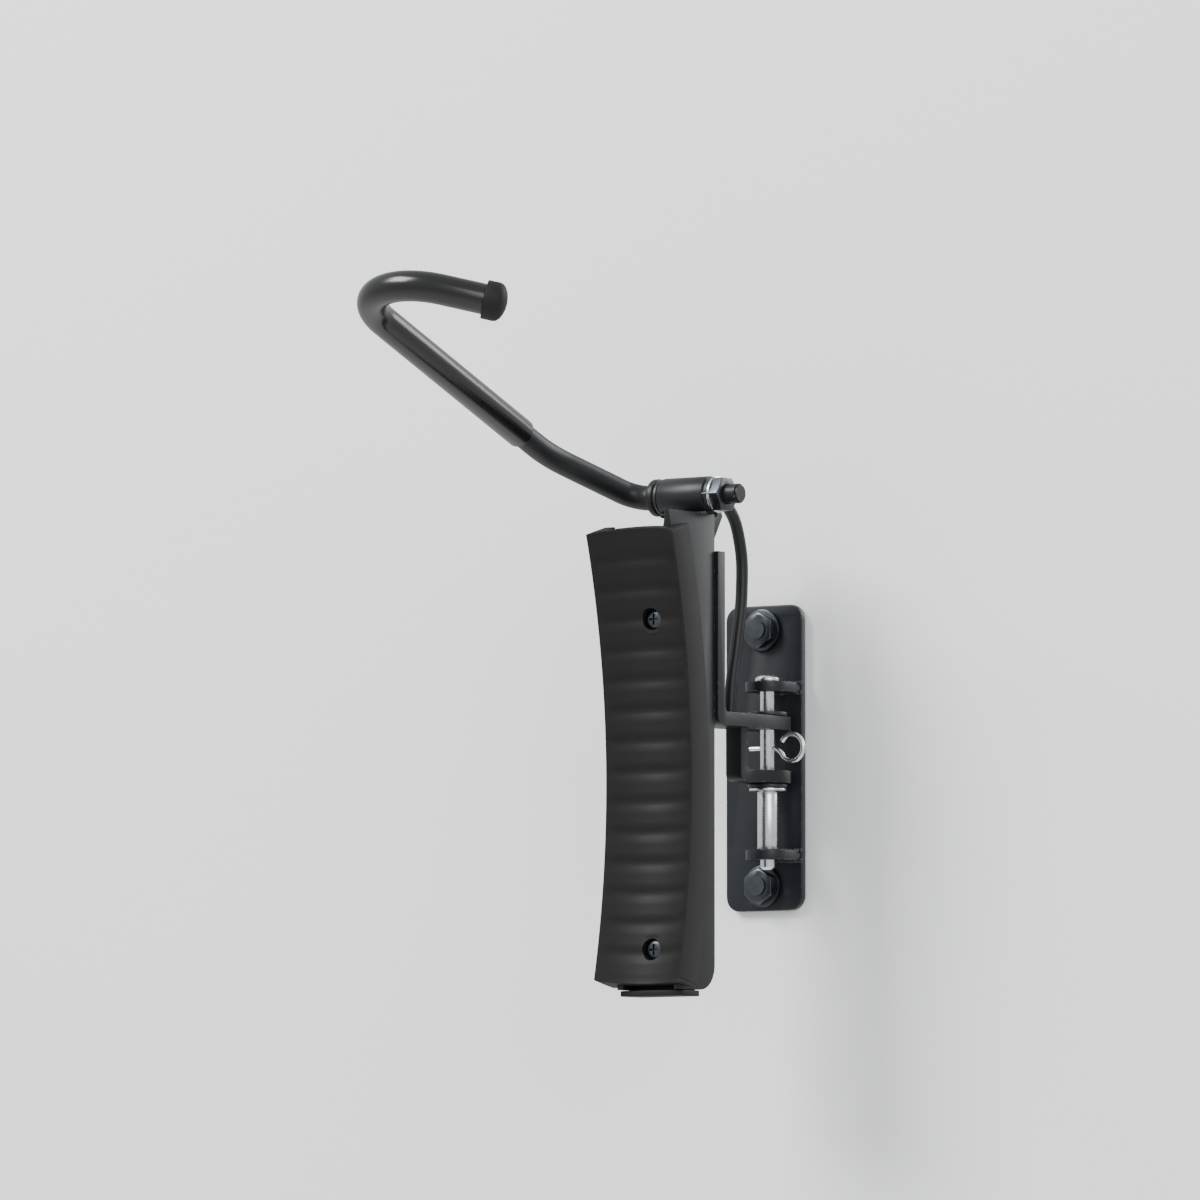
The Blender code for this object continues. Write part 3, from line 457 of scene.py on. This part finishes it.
screwValues = {"washerEdge": 0.35 * mm, "washerBore": 4.4 * mm, "seatGap": 0.3 * mm, "shank": 3.9 * mm,
               "shankSink": 2 * mm, "dish": 0.5 * mm}
for side in ("upper", "lower"):
    washerNode = f"screw_washer_{side}"
    middle = centreOf(washerNode)
    size = sizeOf(washerNode)
    bore, outer, half = screwValues["washerBore"], size.x / 2, size.y / 2
    profile = [(bore, half), (outer, half), (outer, -half), (bore, -half)]
    washer = addTurned(f"plain_washer_{side}", profile, True, screwValues["washerEdge"], middle, outOfWall)
    fit(washer, "wall_bracket", "black_zinc", blackZinc, washerNode)
    screwNode = f"wall_screw_{side}"
    low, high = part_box(screwNode)
    middle = centreOf(screwNode)
    headTop = low.y
    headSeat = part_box(washerNode)[0].y - screwValues["seatGap"]
    flats = high.z - low.z
    place = (middle.x, headSeat, middle.z)
    head = addHex(f"hex_screw_{side}", flats, headSeat - headTop, place, outOfWall)
    shankTop = headTop + screwValues["shankSink"]
    place = (middle.x, (high.y + shankTop) / 2, middle.z)
    shank = addDrill(screwValues["shank"], high.y - shankTop, place, outOfWall)
    carve(head, shank, "UNION")
    dish = addTurned("dish", [(2.0 * mm, -screwValues["dish"]), (4.4 * mm, 0.1 * mm)], False, 0,
                     (middle.x, headTop, middle.z), outOfWall)
    carve(head, dish)
    fit(head, "wall_bracket", "black_zinc", blackZinc, screwNode)
print("wall plate made")


# ---- hinge pin, spacer, washer, clip ----

pinLow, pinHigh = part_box("hinge_pin")
pinCentre = centreOf("hinge_pin")
pinAxis = Vector((pinCentre.x, pinCentre.y, 0))
pinValues = {"radius": 3 * mm, "headHeight": 2.5 * mm, "tip": 1.0 * mm, "clear": 3.3 * mm}
headRadius = (pinHigh.x - pinLow.x) / 2
pinR = pinValues["radius"]
neck = pinHigh.z - pinValues["headHeight"]
profile = [(headRadius * 0.55, pinHigh.z), (headRadius * 0.86, pinHigh.z - 0.5 * mm),
           (headRadius, pinHigh.z - 1.3 * mm), (headRadius, neck), (pinR, neck),
           (pinR, pinLow.z + pinValues["tip"]), (pinR - pinValues["tip"], pinLow.z)]
pin = addTurned("zinc_hinge_pin", profile, False, 0.15 * mm, pinAxis)
fit(pin, "wall_bracket", "bright_zinc", brightZinc, "hinge_pin")

inner = pinValues["clear"]
for node, name in (("pin_spacer", "zinc_spacer_sleeve"), ("thrust_washer", "zinc_thrust_washer")):
    low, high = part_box(node)
    radius = (high.x - low.x) / 2
    sleeve = addTurned(name, [(inner, high.z), (radius, high.z), (radius, low.z), (inner, low.z)], True,
                       0.2 * mm, pinAxis)
    fit(sleeve, "wall_bracket", "bright_zinc", brightZinc, node)

clipValues = {"wire": 1.0 * mm, "height": 3.2 * mm, "tail": 8.4 * mm, "eyeReach": 11.8 * mm,
              "eyeRadius": 5.4 * mm, "openFrom": -155, "openTo": 150}


def makeClip():
    # split pin: tail through the hinge pin, open eye upright beside it
    values = clipValues
    route = [(-values["tail"], 0), (-values["tail"] / 2, 0), (0, 0), (values["eyeReach"] - 8 * mm, 0)]
    for step in range(17):
        angle = math.radians(values["openFrom"] + (values["openTo"] - values["openFrom"]) * step / 16)
        route.append((values["eyeReach"] + values["eyeRadius"] * math.cos(angle),
                      values["eyeRadius"] * math.sin(angle)))
    wire = addCurvedRod("split_pin", [(x, 0, z) for x, z in route], values["wire"], 5)
    wire.location = (pinAxis.x, pinAxis.y, values["height"])
    return wire


fit(makeClip(), "wall_bracket", "bright_zinc", brightZinc, "pin_clip")
print("hinge made")


# ---- swing frame ----

for node, name, edge in (("swing_bracket", "folded_bracket", 0.9 * mm), ("spine", "spine_channel", 0.8 * mm),
                         ("barrel_gusset", "gusset_rib", 0.5 * mm),
                         ("spine_end_cap", "rubber_end_cap", 0.7 * mm)):
    piece = refineNode(node, name, edge)
    if node == "spine_end_cap":
        fit(piece, "swing_frame", "cradle_black", cradleRubber, node)
    else:
        fit(piece, "swing_frame", "frame_coat", frameCoat, node)

bushValues = {"hinge": (4.5 * mm, 3.3 * mm), "axle": (6.1 * mm, 5.3 * mm), "flange": 1.5 * mm,
              "edge": 0.25 * mm}


def addBush(node, kind, flange, length, place, turn):
    # flanged nylon bush, flange face at place
    outer, inner = bushValues[kind]
    thick = bushValues["flange"]
    profile = [(inner, 0), (flange, 0), (flange, -thick), (outer, -thick), (outer, -length), (inner, -length)]
    bush = addTurned(node + "_nylon", profile, True, bushValues["edge"], place, turn)
    fit(bush, "swing_frame", "bush_nylon", blackNylon, node)


for node, upright in (("upper_bush", True), ("lower_bush", False)):
    low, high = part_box(node)
    place = (pinAxis.x, pinAxis.y, high.z if upright else low.z)
    addBush(node, "hinge", (high.x - low.x) / 2, high.z - low.z, place, alongZ if upright else (math.pi, 0, 0))

boltValues = {"shank": 2.9 * mm, "point": 2.1 * mm, "head": 5.2 * mm, "headHeight": 3.3 * mm,
              "socket": 2.3 * mm, "edge": 0.15 * mm, "nutBore": 3.2 * mm}
for side in ("upper", "lower"):
    node = f"bracket_bolt_{side}"
    low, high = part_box(node)
    seat = high.y - boltValues["headHeight"]
    tall = boltValues["headHeight"]
    middle = centreOf(node)
    wide, shank, end = boltValues["head"], boltValues["shank"], low.y - seat
    profile = [(2.3 * mm, tall), (4.0 * mm, tall * 0.83), (4.9 * mm, tall * 0.45), (wide, tall * 0.1),
               (wide, 0), (shank, 0), (shank, end + 0.8 * mm), (boltValues["point"], end)]
    place = (middle.x, seat, middle.z)
    bolt = addTurned(f"button_bolt_{side}", profile, False, boltValues["edge"], place, intoWall)
    deselectAll()
    bpy.ops.mesh.primitive_cylinder_add(vertices=6, radius=boltValues["socket"], depth=4 * mm,
                                        location=(middle.x, high.y, middle.z), rotation=intoWall)
    carve(bolt, bpy.context.object)
    fit(bolt, "swing_frame", "black_zinc", blackZinc, node)
    node = f"bracket_nut_{side}"
    low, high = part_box(node)
    middle = centreOf(node)
    place = (middle.x, high.y, middle.z)
    nut = addHex(f"hex_nut_{side}", high.z - low.z, high.y - low.y, place, outOfWall)
    carve(nut, addDrill(boltValues["nutBore"], 20 * mm, middle, outOfWall))
    fit(nut, "swing_frame", "black_zinc", blackZinc, node)
print("frame made")

barrelLow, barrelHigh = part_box("pivot_barrel")
axle = centreOf("pivot_barrel")
barrelRadius = (barrelHigh.z - barrelLow.z) / 2
halfBarrel = (barrelHigh.x - barrelLow.x) / 2
barrelValues = {"bore": 6.4 * mm, "edge": 0.6 * mm, "weldBeads": 15, "weldRadius": 1.2 * mm,
                "weldReach": 3.4 * mm}
profile = [(barrelValues["bore"], halfBarrel), (barrelRadius, halfBarrel), (barrelRadius, -halfBarrel),
           (barrelValues["bore"], -halfBarrel)]
barrel = addTurned("welded_barrel", profile, True, barrelValues["edge"], axle, alongX)
fit(barrel, "swing_frame", "frame_coat", frameCoat, "pivot_barrel")
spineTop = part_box("spine")[1].z
beadCount = barrelValues["weldBeads"]
for side, depth in (("back", barrelValues["weldReach"]), ("front", -barrelValues["weldReach"])):
    run = [(barrelLow.x + (barrelHigh.x - barrelLow.x) * (i + 0.5) / beadCount, axle.y + depth,
            spineTop + 0.2 * mm) for i in range(beadCount)]
    addWeld(f"barrel_weld_{side}", run, barrelValues["weldRadius"], "swing_frame", "frame_coat", frameCoat)

for node, right in (("barrel_bush_right", True), ("barrel_bush_left", False)):
    low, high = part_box(node)
    place = (high.x if right else low.x, axle.y, axle.z)
    turn = alongX if right else (0, -math.pi / 2, 0)
    addBush(node, "axle", (high.z - low.z) / 2, high.x - low.x, place, turn)

braceValues = {"radius": 2.5 * mm,
               "route": ((-44, 103), (-33, 98.5), (-26, 86), (-24.5, 68), (-28, 46), (-32, 28)),
               "footY": -33 * mm, "weldBeads": 14, "weldReach": 2.7 * mm, "weldRadius": 1.0 * mm}


def makeBrace():
    # bowed rod from the barrel's back to the upper knuckle
    low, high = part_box("rear_brace")
    middleX = (low.x + high.x) / 2
    route = [(middleX, low.y, axle.z + 0.5 * mm)]
    route += [(middleX, y * mm, z * mm) for y, z in braceValues["route"]]
    route.append((middleX, braceValues["footY"], low.z))
    return addCurvedRod("bowed_brace", route, braceValues["radius"], 6)


fit(makeBrace(), "swing_frame", "frame_coat", frameCoat, "rear_brace")
braceLow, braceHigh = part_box("rear_brace")
braceX = (braceLow.x + braceHigh.x) / 2
footPlace = Vector((braceX, braceValues["footY"], braceLow.z + 0.3 * mm))
headPlace = Vector((braceX, braceLow.y + 0.2 * mm, axle.z + 0.5 * mm))
for name, centre, across in (("foot", footPlace, "Z"), ("head", headPlace, "Y")):
    run = []
    for i in range(braceValues["weldBeads"]):
        angle = 2 * math.pi * i / braceValues["weldBeads"]
        offset = Vector((math.cos(angle), math.sin(angle), 0)) * braceValues["weldReach"]
        if across == "Y":
            offset = Vector((offset.x, 0, offset.y))
        run.append(centre + offset)
    addWeld(f"brace_weld_{name}", run, braceValues["weldRadius"], "swing_frame", "frame_coat", frameCoat)
print("barrel and brace made")


# ---- tyre cradle ----

cradleValues = {"wheelY": -445 * mm, "wheelZ": -14 * mm, "tread": 368 * mm, "tyreSection": 32 * mm,
                "halfWidth": 20.9 * mm, "wall": 4 * mm, "bottom": -93.9 * mm, "top": 87.9 * mm,
                "seat": 368.7 * mm, "gripOuter": 15.3 * mm, "gripInner": 12.2 * mm, "steps": 120,
                "boss": 5.95 * mm, "grooves": 15, "grooveDepth": 0.9 * mm}


def makeCradle():
    # its section is drawn edge by edge and spun about the wheel's centre; shallow grooves cross it
    values = cradleValues
    flat = values["tread"] - values["tyreSection"]

    def hug(x):
        return flat + math.sqrt(values["tyreSection"] ** 2 - x ** 2)

    half, grip, root = values["halfWidth"], values["gripOuter"], values["gripInner"]
    outline = [(half * (2 * step / 24 - 1), hug(half * (2 * step / 24 - 1))) for step in range(25)]
    rightSide = [(half, values["seat"] - 2 * mm), (half - 0.5 * mm, values["seat"] + 4.9 * mm),
                 (grip, values["seat"] + 4.9 * mm), (grip, values["seat"]), (root, values["seat"]),
                 (root, hug(root) + values["wall"]), (7 * mm, hug(7 * mm) + values["wall"])]
    outline += rightSide + [(0, hug(0) + values["wall"])]
    outline += [(-x, radius) for x, radius in reversed(rightSide)]
    start = math.asin((values["bottom"] - values["wheelZ"]) / values["tread"])
    finish = math.asin((values["top"] - values["wheelZ"]) / values["tread"])
    deselectAll()
    bpy.ops.mesh.primitive_plane_add(size=1)
    cradle = bpy.context.object
    cradle.name = "grooved_cradle"
    bpy.ops.object.mode_set(mode="EDIT")
    bpy.ops.mesh.select_all(action="SELECT")
    bpy.ops.mesh.delete(type="VERT")
    shape = bmesh.from_edit_mesh(cradle.data)
    loop = [shape.verts.new((x, radius * math.cos(start), radius * math.sin(start))) for x, radius in outline]
    shape.faces.new(loop)
    bmesh.update_edit_mesh(cradle.data)
    bpy.ops.mesh.select_all(action="SELECT")
    bpy.ops.mesh.spin(steps=values["steps"], angle=spinSign * (finish - start), center=(0, 0, 0),
                      axis=(1, 0, 0))
    bpy.ops.mesh.select_all(action="SELECT")
    bpy.ops.mesh.normals_make_consistent(inside=False)
    bpy.ops.object.mode_set(mode="OBJECT")
    roundEdges(cradle, 0.5 * mm, 3, 42)
    # grooves: the tread face is pressed back a little in a smooth wave
    pitch = (finish - start) / values["grooves"]
    for vertex in cradle.data.vertices:
        x, radius = vertex.co.x, math.hypot(vertex.co.y, vertex.co.z)
        if abs(x) < half * 0.97 and radius < hug(x) + 0.4 * mm:
            along = (math.atan2(vertex.co.z, vertex.co.y) - start) / pitch
            fade = min(1.0, (half * 0.97 - abs(x)) / (3 * mm))
            fade *= min(1.0, 4 * along, 4 * (values["grooves"] - along))
            wave = max(0.0, math.cos(2 * math.pi * along)) ** 1.5
            press = 1 + values["grooveDepth"] * wave * max(0.0, fade) / radius
            vertex.co.y *= press
            vertex.co.z *= press
    cradle.location = (0, values["wheelY"], values["wheelZ"])
    settle(cradle)
    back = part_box("tyre_cradle")[1].y
    for side in ("upper", "lower"):
        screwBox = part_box(f"cradle_screw_{side}")
        middle = centreOf(f"cradle_screw_{side}")
        bossStart = screwBox[0].y - 1.0 * mm
        boss = addTurned("boss", [(values["boss"], bossStart - back), (values["boss"], 0)], False, 0,
                         (middle.x, back, middle.z), intoWall)
        carve(cradle, boss, "UNION")
        recess = addTurned("recess", [(4.4 * mm, -30 * mm), (4.4 * mm, -0.3 * mm)], False, 0,
                           (middle.x, screwBox[0].y + 2.6 * mm, middle.z), intoWall)
        carve(cradle, recess)
        carve(cradle, addDrill(2.3 * mm, 40 * mm, middle, outOfWall))
    return cradle


fit(makeCradle(), "swing_frame", "cradle_black", cradleRubber, "tyre_cradle")
for side in ("upper", "lower"):
    node = f"cradle_screw_{side}"
    low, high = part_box(node)
    middle = centreOf(node)
    headTop = low.y
    screw = addTurned(f"pan_screw_{side}", [(2.6 * mm, 2.6 * mm), (3.6 * mm, 2.1 * mm), (4 * mm, 1.2 * mm),
                                            (4 * mm, 0), (2 * mm, 0), (2 * mm, -(high.y - headTop) + 2.6 * mm)],
                      False, 0.12 * mm, (middle.x, headTop + 2.6 * mm, middle.z), outOfWall)
    for turn in (0, math.pi / 2):
        deselectAll()
        bpy.ops.mesh.primitive_cube_add(size=1, location=(middle.x, headTop, middle.z), rotation=(0, turn, 0),
                                        scale=(4.4 * mm, 3.0 * mm, 0.9 * mm))
        carve(screw, bpy.context.object)
    fit(screw, "swing_frame", "black_zinc", blackZinc, node)
print("cradle made")


# ---- hook arm ----

armValues = {"rod": 5 * mm, "stud": 4 * mm, "sleeve": 6.08 * mm, "raise": math.radians(22), "crook": 27 * mm,
             "firstBend": 12 * mm, "secondBend": 50 * mm, "baseX": -22 * mm, "flareReach": 42 * mm,
             "corner": 214.8 * mm, "tipSlope": math.radians(36.2), "rodEnd": 74.5 * mm,
             "sleeveStart": 62 * mm, "tip": 7.7 * mm, "tipStart": 70 * mm, "tipEnd": 79 * mm}


def layArm(piece):
    piece.rotation_euler = (math.pi - armValues["raise"], 0, 0)
    piece.location = (0, axle.y, axle.z)
    settle(piece)
    return piece


def makeArm():
    values = armValues
    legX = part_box("arm_rod")[0].x + values["rod"]
    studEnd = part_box("arm_rod")[1].x
    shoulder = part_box("friction_washer")[1].x - 0.1 * mm
    slope = values["tipSlope"]
    tipHeading = math.pi - slope  # from the tip's end towards the crook
    crookTurn = math.pi / 2 + slope
    crookCut = values["crook"] * math.tan(crookTurn / 2)
    rodTip = (legX + values["rodEnd"] * math.cos(slope),
              values["corner"] - values["rodEnd"] * math.sin(slope), 0)
    flare = Vector((values["baseX"] - legX, -values["flareReach"]))
    flareTurn = math.atan2(flare.x, -flare.y)
    lastTurn = math.pi / 2 - flareTurn
    firstLength = values["firstBend"] * math.tan(lastTurn / 2)
    secondLength = values["secondBend"] * math.tan(flareTurn / 2)
    crook = [("run", values["rodEnd"] - crookCut, 0), ("bend", crookTurn, values["crook"])]
    steps = crook + [("run", values["corner"] - crookCut - values["flareReach"] - secondLength, 0),
                     ("bend", flareTurn, values["secondBend"]),
                     ("run", flare.length - firstLength - secondLength, 0),
                     ("bend", lastTurn, values["firstBend"]),
                     ("run", shoulder - (values["baseX"] + firstLength), 0),
                     ("inset", values["rod"] - values["stud"], 0), ("run", studEnd - shoulder - 0.8 * mm, 0),
                     ("inset", 0.6 * mm, 0), ("run", 0.8 * mm, 0)]
    rod = addBentRod("bent_arm_rod", rodTip, tipHeading, values["rod"], steps, 36)
    fit(layArm(rod), "hook_arm", "frame_coat", frameCoat, "arm_rod")
    steps = crook + [("run", values["corner"] - crookCut - values["sleeveStart"], 0)]
    sleeve = addBentRod("plastic_hook_sleeve", rodTip, tipHeading, values["sleeve"], steps, 40, wall=1.0 * mm,
                        degreesPerStep=4)
    roundEdges(sleeve, 0.4 * mm, 3, 60)
    fit(layArm(sleeve), "hook_arm", "sleeve_black", sleevePlastic, "hook_sleeve")
    # heights are distances back along the tip's line from the crook's corner
    floor, end = -values["rodEnd"] - 0.3 * mm, -values["tipEnd"]
    outer, bore = values["tip"], 6.6 * mm
    profile = [(bore, floor), (bore, -values["tipStart"]), (outer, -values["tipStart"]), (outer, floor)]
    profile += [(outer * math.cos(a), floor - (floor - end) * math.sin(a))
                for a in (math.radians(d) for d in (18, 36, 54, 72, 84))]
    tip = addTurned("rubber_hook_tip", profile, False, 0.25 * mm, (0, 0, 0))
    tip.rotation_euler = (-math.pi / 2, 0, 0)
    settle(tip)
    tip.rotation_euler = (0, 0, math.pi / 2 - slope)
    settle(tip)
    tip.location = (legX, values["corner"], 0)
    settle(tip)
    fit(layArm(tip), "hook_arm", "cradle_black", cradleRubber, "hook_tip")


makeArm()
for node, name, inner, edge, finish, slot in (
        ("arm_collar", "rod_collar", 5.1 * mm, 0.6 * mm, frameCoat, "frame_coat"),
        ("friction_washer", "zinc_friction_washer", 5.1 * mm, 0.25 * mm, brightZinc, "bright_zinc")):
    low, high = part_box(node)
    radius = (high.z - low.z) / 2
    half = (high.x - low.x) / 2
    ring = addTurned(name, [(inner, half), (radius, half), (radius, -half), (inner, -half)], True, edge,
                     centreOf(node), alongX)
    fit(ring, "hook_arm", slot, finish, node)
low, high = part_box("axle_nut")
flats = min(high.y - low.y, high.z - low.z)
nut = addHex("axle_hex_nut", flats, high.x - low.x, (low.x, axle.y, axle.z), alongX)
carve(nut, addDrill(4.2 * mm, 40 * mm, (high.x, axle.y, axle.z), alongX))
fit(nut, "hook_arm", "black_zinc", blackZinc, "axle_nut")
print("arm made")


# ---- stage ----

stageValues = {"wallColour": "#f3f4f5", "floorColour": "#f0efec", "floorDrop": 1.75, "frameWidth": 0.48,
               "wallSize": 6, "wallHeight": 1.2, "floorSize": 160, "roomColour": "#eef0f2", "roomLight": 1.0,
               "aim": (-0.020, -0.090, 0.060), "eye": (2.254, -3.322, -0.229)}


def makeStage():
    values = stageValues
    deselectAll()
    bpy.ops.mesh.primitive_plane_add(size=values["wallSize"], location=(0, 0.8 * mm, values["wallHeight"]),
                                     rotation=outOfWall)
    wall = bpy.context.object
    wall.name = "studio_wall"
    material = bpy.data.materials.new("matt_wall_paint")
    material.use_nodes = True
    tree = material.node_tree
    shader = tree.nodes["Principled BSDF"]
    shader.inputs["Base Color"].default_value = linear(values["wallColour"])
    shader.inputs["Roughness"].default_value = 0.9
    shape = addNode(tree, "ShaderNodeNewGeometry")
    clear = addNode(tree, "ShaderNodeBsdfTransparent")
    mix = addNode(tree, "ShaderNodeMixShader", {},
                  {0: (shape, "Backfacing"), 1: (shader, "BSDF"), 2: (clear, "BSDF")})
    tree.links.new(mix.outputs[0], tree.nodes["Material Output"].inputs["Surface"])
    wall.data.materials.append(material)
    wall.visible_diffuse = False
    wall.visible_glossy = False
    wall.visible_shadow = False
    wall.visible_transmission = False
    deselectAll()
    bpy.ops.mesh.primitive_plane_add(size=values["floorSize"], location=(0, 0, -values["floorDrop"]))
    floor = bpy.context.object
    floor.name = "studio_floor"
    paint = bpy.data.materials.new("pale_floor")
    paint.use_nodes = True
    shader = paint.node_tree.nodes["Principled BSDF"]
    shader.inputs["Base Color"].default_value = linear(values["floorColour"])
    shader.inputs["Roughness"].default_value = 0.8
    floor.data.materials.append(paint)


def addSoftbox(name, place, size, power, target=(0, -0.1, 0.05)):
    lamp = bpy.data.lights.new(name, "AREA")
    lamp.shape = "SQUARE"
    lamp.size = size
    lamp.energy = power
    box = bpy.data.objects.new(name, lamp)
    box.location = place
    box.rotation_euler = (Vector(target) - Vector(place)).to_track_quat("-Z", "Y").to_euler()
    bpy.context.scene.collection.objects.link(box)


def makeCamera():
    values = stageValues
    lens = bpy.data.cameras.new("camera")
    camera = bpy.data.objects.new("camera", lens)
    bpy.context.scene.collection.objects.link(camera)
    eye, aim = Vector(values["eye"]), Vector(values["aim"])
    camera.location = eye
    camera.rotation_euler = (aim - eye).to_track_quat("-Z", "Y").to_euler()
    lens.sensor_width = 36
    lens.lens = lens.sensor_width * (aim - eye).length / values["frameWidth"]
    lens.clip_end = 300
    bpy.context.scene.camera = camera


makeStage()
addSoftbox("key_softbox", (-1.1, -1.7, 1.7), 1.1, 88)
addSoftbox("fill_softbox", (2.3, -1.6, 0.9), 1.6, 34)
addSoftbox("rim_softbox", (0.9, 1.5, 1.0), 1.2, 24)
world = bpy.data.worlds.new("soft_room")
world.use_nodes = True
world.node_tree.nodes["Background"].inputs["Color"].default_value = linear(stageValues["roomColour"])
world.node_tree.nodes["Background"].inputs["Strength"].default_value = stageValues["roomLight"]
bpy.context.scene.world = world
makeCamera()
print("stage made")
